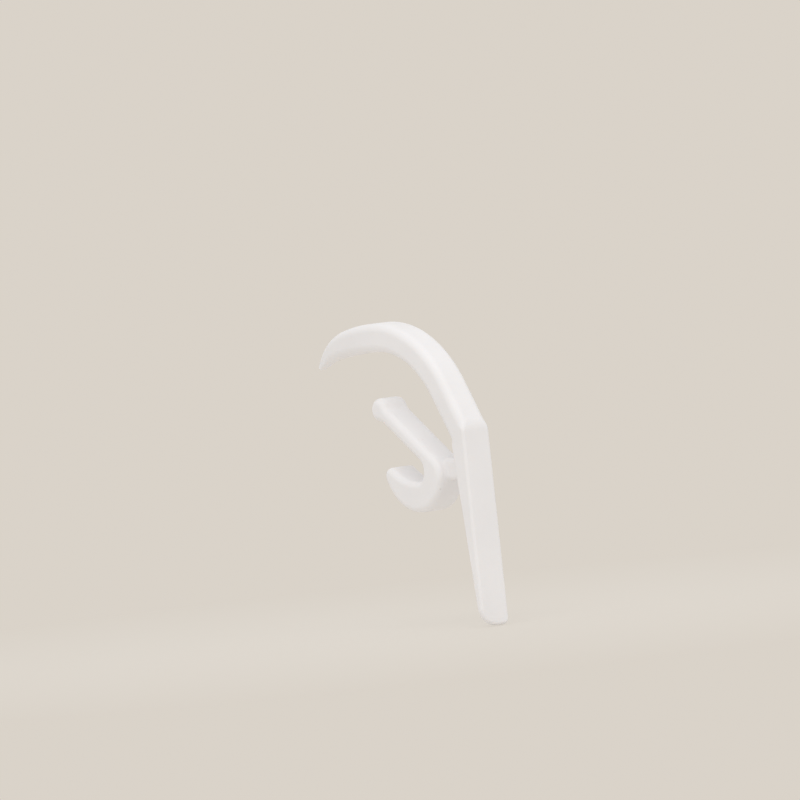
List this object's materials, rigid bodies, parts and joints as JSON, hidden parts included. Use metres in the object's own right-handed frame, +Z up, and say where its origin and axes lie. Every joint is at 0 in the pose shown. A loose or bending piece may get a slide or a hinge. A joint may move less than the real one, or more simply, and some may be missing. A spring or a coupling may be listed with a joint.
{
  "type": "curtain hook",
  "caption": "White plastic curtain hook: an arched, pointed claw on a leaning stem, a flat tapering tail and a spring-finger clip on a web, for heading tape and a glider's eye.",
  "frame": {"origin": "crest of the arch's underside at the middle of the strap's width, where a glider's eye bears", "axes": "+X from the claw tips towards the spine, +Y across the strap, +Z up along the tail"},
  "size_m": [0.0246, 0.003, 0.0287],
  "materials": {
    "curtain_hook": "satin"
  },
  "bodies": {
    "root": {"curtain_hook": "curtain_hook"}
  },
  "joints": []
}
